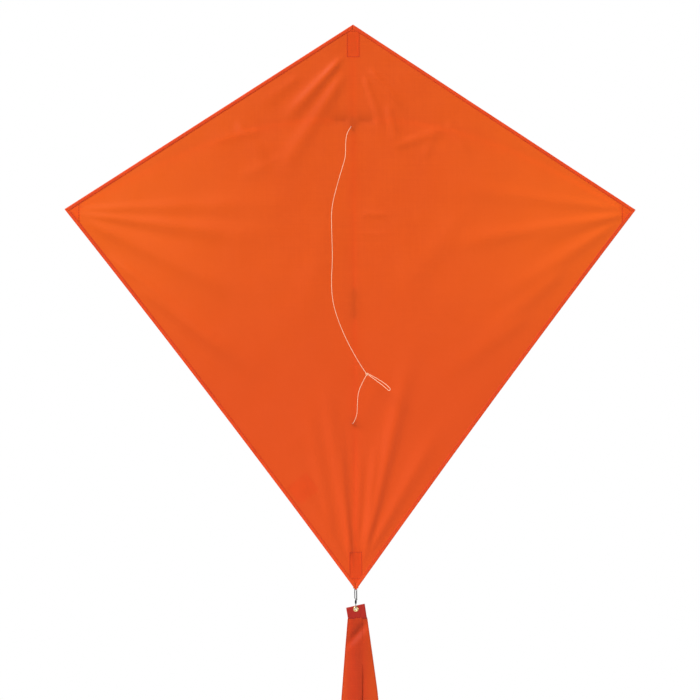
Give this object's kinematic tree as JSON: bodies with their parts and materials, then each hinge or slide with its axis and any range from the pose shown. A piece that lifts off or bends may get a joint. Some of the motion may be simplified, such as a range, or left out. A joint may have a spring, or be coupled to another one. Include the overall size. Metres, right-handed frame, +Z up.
{
  "type": "diamond kite",
  "caption": "Orange cloth diamond kite with a sprung rod frame, vinyl cross fitting, bridle line with a tow loop, and a cloth streamer tail on a snap swivel.",
  "frame": {"origin": "where the axes of the spine and of the spreader cross, inside the vinyl cross fitting", "axes": "+Z up along the spine to the nose, +Y out of the sail's back, +X to the right wing seen from the front; the sail's mid-plane is at y = -4.4 mm"},
  "size_m": [0.762, 0.0437, 1.677],
  "materials": {
    "sail_cloth": "orange ripstop weave, thin enough to let light through",
    "hem_cloth": "the same orange cloth folded double and stitched",
    "tail_cloth": "orange-red cloth, pleated at the top",
    "rod_fibreglass": "natural off-white pultruded fibreglass",
    "black_vinyl": "soft black moulded vinyl",
    "ferrule_black": "black tube",
    "cap_vinyl": "dipped off-white vinyl",
    "bridle_line": "braided white line",
    "label_cloth": "blank white sewn label",
    "tab_tape": "narrow woven tape",
    "snap_steel": "nickel-plated spring wire",
    "black_nickel": "black nickel plating",
    "brass": "rolled brass eyelet"
  },
  "bodies": {
    "spine_frame": {"sail_centre_strip": "sail_cloth", "nose_pocket": "hem_cloth", "tail_pocket": "hem_cloth", "upper_spine_rod": "rod_fibreglass", "lower_spine_rod": "rod_fibreglass", "spine_ferrule": "ferrule_black", "spine_top_cap": "cap_vinyl", "spine_bottom_cap": "cap_vinyl", "cross_fitting": "black_vinyl", "upper_bridle_hitch": "bridle_line", "lower_bridle_hitch": "bridle_line", "lower_bridle_keeper": "black_vinyl", "tail_tab": "tab_tape"},
    "left_wing": {"left_sail_panel": "sail_cloth", "left_leading_hem": "hem_cloth", "left_trailing_hem": "hem_cloth", "left_tip_pocket": "hem_cloth", "left_spreader_rod": "rod_fibreglass", "left_spreader_cap": "cap_vinyl", "left_fitting_arm": "black_vinyl", "sewn_label": "label_cloth"},
    "right_wing": {"right_sail_panel": "sail_cloth", "right_leading_hem": "hem_cloth", "right_trailing_hem": "hem_cloth", "right_tip_pocket": "hem_cloth", "right_spreader_rod": "rod_fibreglass", "right_spreader_cap": "cap_vinyl", "right_fitting_arm": "black_vinyl"},
    "bridle": {"bridle_upper_leg": "bridle_line", "bridle_lower_leg": "bridle_line", "bridle_knot": "bridle_line"},
    "tow_loop": {"tow_loop": "bridle_line"},
    "snap": {"snap_wire": "snap_steel", "swivel_barrel": "black_nickel"},
    "snap_gate": {"snap_gate": "black_nickel"},
    "swivel_eye": {"swivel_eye": "snap_steel"},
    "tail": {"tail_top_hem": "tail_cloth", "tail_strip": "tail_cloth", "tail_end_hem": "tail_cloth", "tail_eyelet": "brass", "eyelet_washer": "brass"}
  },
  "joints": [
    {"name": "left_wing_fold", "type": "hinge", "parent": "spine_frame", "child": "left_wing", "pos_m": [-0.00915, 0, 0], "axis": [0, 0, -1], "range_deg": [0, 45], "stiffness_Nm_per_rad": 0.08},
    {"name": "right_wing_fold", "type": "hinge", "parent": "spine_frame", "child": "right_wing", "pos_m": [0.00915, 0, 0], "axis": [0, 0, 1], "range_deg": [0, 45], "stiffness_Nm_per_rad": 0.08},
    {"name": "bridle_swing", "type": "hinge", "parent": "spine_frame", "child": "bridle", "pos_m": [-0.0033, -0.0049, -0.2067], "axis": [0, 0, 1], "range_deg": [-25, 25], "stiffness_Nm_per_rad": 0.0001},
    {"name": "tow_loop_swing", "type": "hinge", "parent": "bridle", "child": "tow_loop", "pos_m": [0.0146, -0.0264, -0.3385], "axis": [0, 1, 0], "range_deg": [-60, 40], "stiffness_Nm_per_rad": 0.0002},
    {"name": "snap_swing", "type": "hinge", "parent": "spine_frame", "child": "snap", "pos_m": [0, -0.00245, -0.6257], "axis": [1, 0, 0], "range_deg": [-20, 80]},
    {"name": "gate_open", "type": "hinge", "parent": "snap", "child": "snap_gate", "pos_m": [0.0015, -0.00245, -0.6414], "axis": [0, 1, 0], "range_deg": [0, 35], "stiffness_Nm_per_rad": 0.0001},
    {"name": "swivel_spin", "type": "hinge", "parent": "snap", "child": "swivel_eye", "pos_m": [0, -0.00245, -0.6462], "axis": [0, 0, 1], "continuous": true},
    {"name": "tail_swing", "type": "hinge", "parent": "swivel_eye", "child": "tail", "pos_m": [0, -0.00245, -0.6527], "axis": [0, 1, 0], "range_deg": [-28, 28]}
  ]
}
